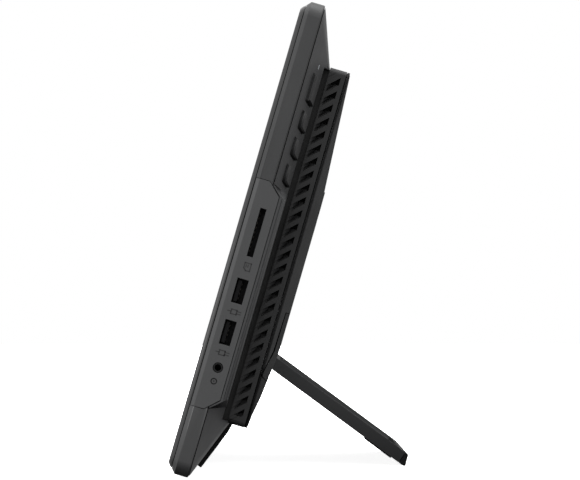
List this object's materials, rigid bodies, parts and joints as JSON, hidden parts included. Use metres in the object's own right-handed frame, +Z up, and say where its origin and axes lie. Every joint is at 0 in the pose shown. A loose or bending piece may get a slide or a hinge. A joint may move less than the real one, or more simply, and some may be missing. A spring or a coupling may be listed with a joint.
{
  "type": "all in one pc",
  "caption": "All-in-one computer: a leaning screen slab with a finned rear block, side ports and keys, on a fold-out rear kickstand.",
  "frame": {"origin": "centre of the object's footprint box, on the desk", "axes": "+X to the right seen from the front, +Y towards the back, +Z up"},
  "size_m": [0.41, 0.1274, 0.2434],
  "materials": {
    "cover_glass": "dark glass over the whole front",
    "gloss_black": "glossy black moulding",
    "charcoal_plastic": "fine-textured charcoal moulding",
    "dark_plastic": "satin black moulding",
    "display": "liquid-crystal panel, switched off",
    "black_plastic": "plain black moulding",
    "connector_steel": "plated sheet steel",
    "steel": "zinc-plated steel",
    "screw_black": "black-zinc screws",
    "copper": "copper heat spreader and pipes",
    "aluminium": "bare aluminium",
    "circuit_board": "green solder mask",
    "rubber": "black rubber",
    "light_pipe": "clear light pipe"
  },
  "bodies": {
    "computer": {"cover_glass": "cover_glass", "front_bezel": "gloss_black", "mid_frame": "charcoal_plastic", "rear_shell": "charcoal_plastic", "port_panel_right": "charcoal_plastic", "port_panel_left": "charcoal_plastic", "rear_housing": "charcoal_plastic", "rear_cover": "charcoal_plastic", "hinge_cap_right": "dark_plastic", "hinge_cap_left": "dark_plastic", "display_panel": "display", "webcam_module": "black_plastic", "dust_screen_right": "black_plastic", "dust_screen_left": "black_plastic", "headset_jack": "black_plastic", "dc_in_jack": "black_plastic", "lan_socket": "black_plastic", "fan_housing_right": "black_plastic", "fan_housing_left": "black_plastic", "speaker_right": "black_plastic", "speaker_left": "black_plastic", "sd_card_slot": "connector_steel", "usb_socket_upper": "connector_steel", "usb_socket_lower": "connector_steel", "usb_socket_left": "connector_steel", "hdmi_socket": "connector_steel", "chassis_plate": "steel", "cpu": "steel", "hinge_bracket_right": "steel", "hinge_bracket_left": "steel", "hinge_pin_right": "steel", "hinge_pin_left": "steel", "cover_screw_1": "screw_black", "cover_screw_2": "screw_black", "cover_screw_3": "screw_black", "cover_screw_4": "screw_black", "heat_sink_base": "copper", "heat_pipe_right": "copper", "heat_pipe_left": "copper", "fin_stack_right": "aluminium", "fin_stack_left": "aluminium", "hard_drive": "aluminium", "mainboard": "circuit_board", "io_board_right": "circuit_board", "io_board_left": "circuit_board", "memory_module_1": "circuit_board", "memory_module_2": "circuit_board", "wifi_card": "circuit_board", "bottom_bevel_pad": "rubber", "bottom_edge_foot": "rubber", "power_led": "light_pipe"},
    "kickstand": {"kickstand_plate": "charcoal_plastic", "kickstand_foot": "rubber", "kickstand_pad": "rubber"},
    "power_button": {"power_button": "dark_plastic"},
    "menu_button": {"menu_button": "dark_plastic"},
    "volume_up_button": {"volume_up_button": "dark_plastic"},
    "volume_down_button": {"volume_down_button": "dark_plastic"},
    "fan_right": {"fan_rotor_right": "black_plastic"},
    "fan_left": {"fan_rotor_left": "black_plastic"}
  },
  "joints": [
    {"name": "kickstand_hinge", "type": "hinge", "parent": "computer", "child": "kickstand", "pos_m": [0, -0.0132, 0.05791], "axis": [1, 0, 0], "range_deg": [-25, 110.1]},
    {"name": "power_press", "type": "slide", "parent": "computer", "child": "power_button", "axis": [-0.3616, -0.8953, 0.2601], "range_m": [0, 0.0008], "stiffness_N_per_m": 1500, "springref_m": -0.0003},
    {"name": "menu_press", "type": "slide", "parent": "computer", "child": "menu_button", "axis": [-0.3616, -0.8953, 0.2601], "range_m": [0, 0.0008], "stiffness_N_per_m": 1500, "springref_m": -0.0003},
    {"name": "volume_up_press", "type": "slide", "parent": "computer", "child": "volume_up_button", "axis": [-0.3616, -0.8953, 0.2601], "range_m": [0, 0.0008], "stiffness_N_per_m": 1500, "springref_m": -0.0003},
    {"name": "volume_down_press", "type": "slide", "parent": "computer", "child": "volume_down_button", "axis": [-0.3616, -0.8953, 0.2601], "range_m": [0, 0.0008], "stiffness_N_per_m": 1500, "springref_m": -0.0003},
    {"name": "fan_right_spin", "type": "hinge", "parent": "computer", "child": "fan_right", "pos_m": [0.115, 0.00544, 0.16184], "axis": [0, 0.9603, -0.279], "continuous": true},
    {"name": "fan_left_spin", "type": "hinge", "parent": "computer", "child": "fan_left", "pos_m": [-0.115, 0.00544, 0.16184], "axis": [0, 0.9603, -0.279], "continuous": true}
  ]
}
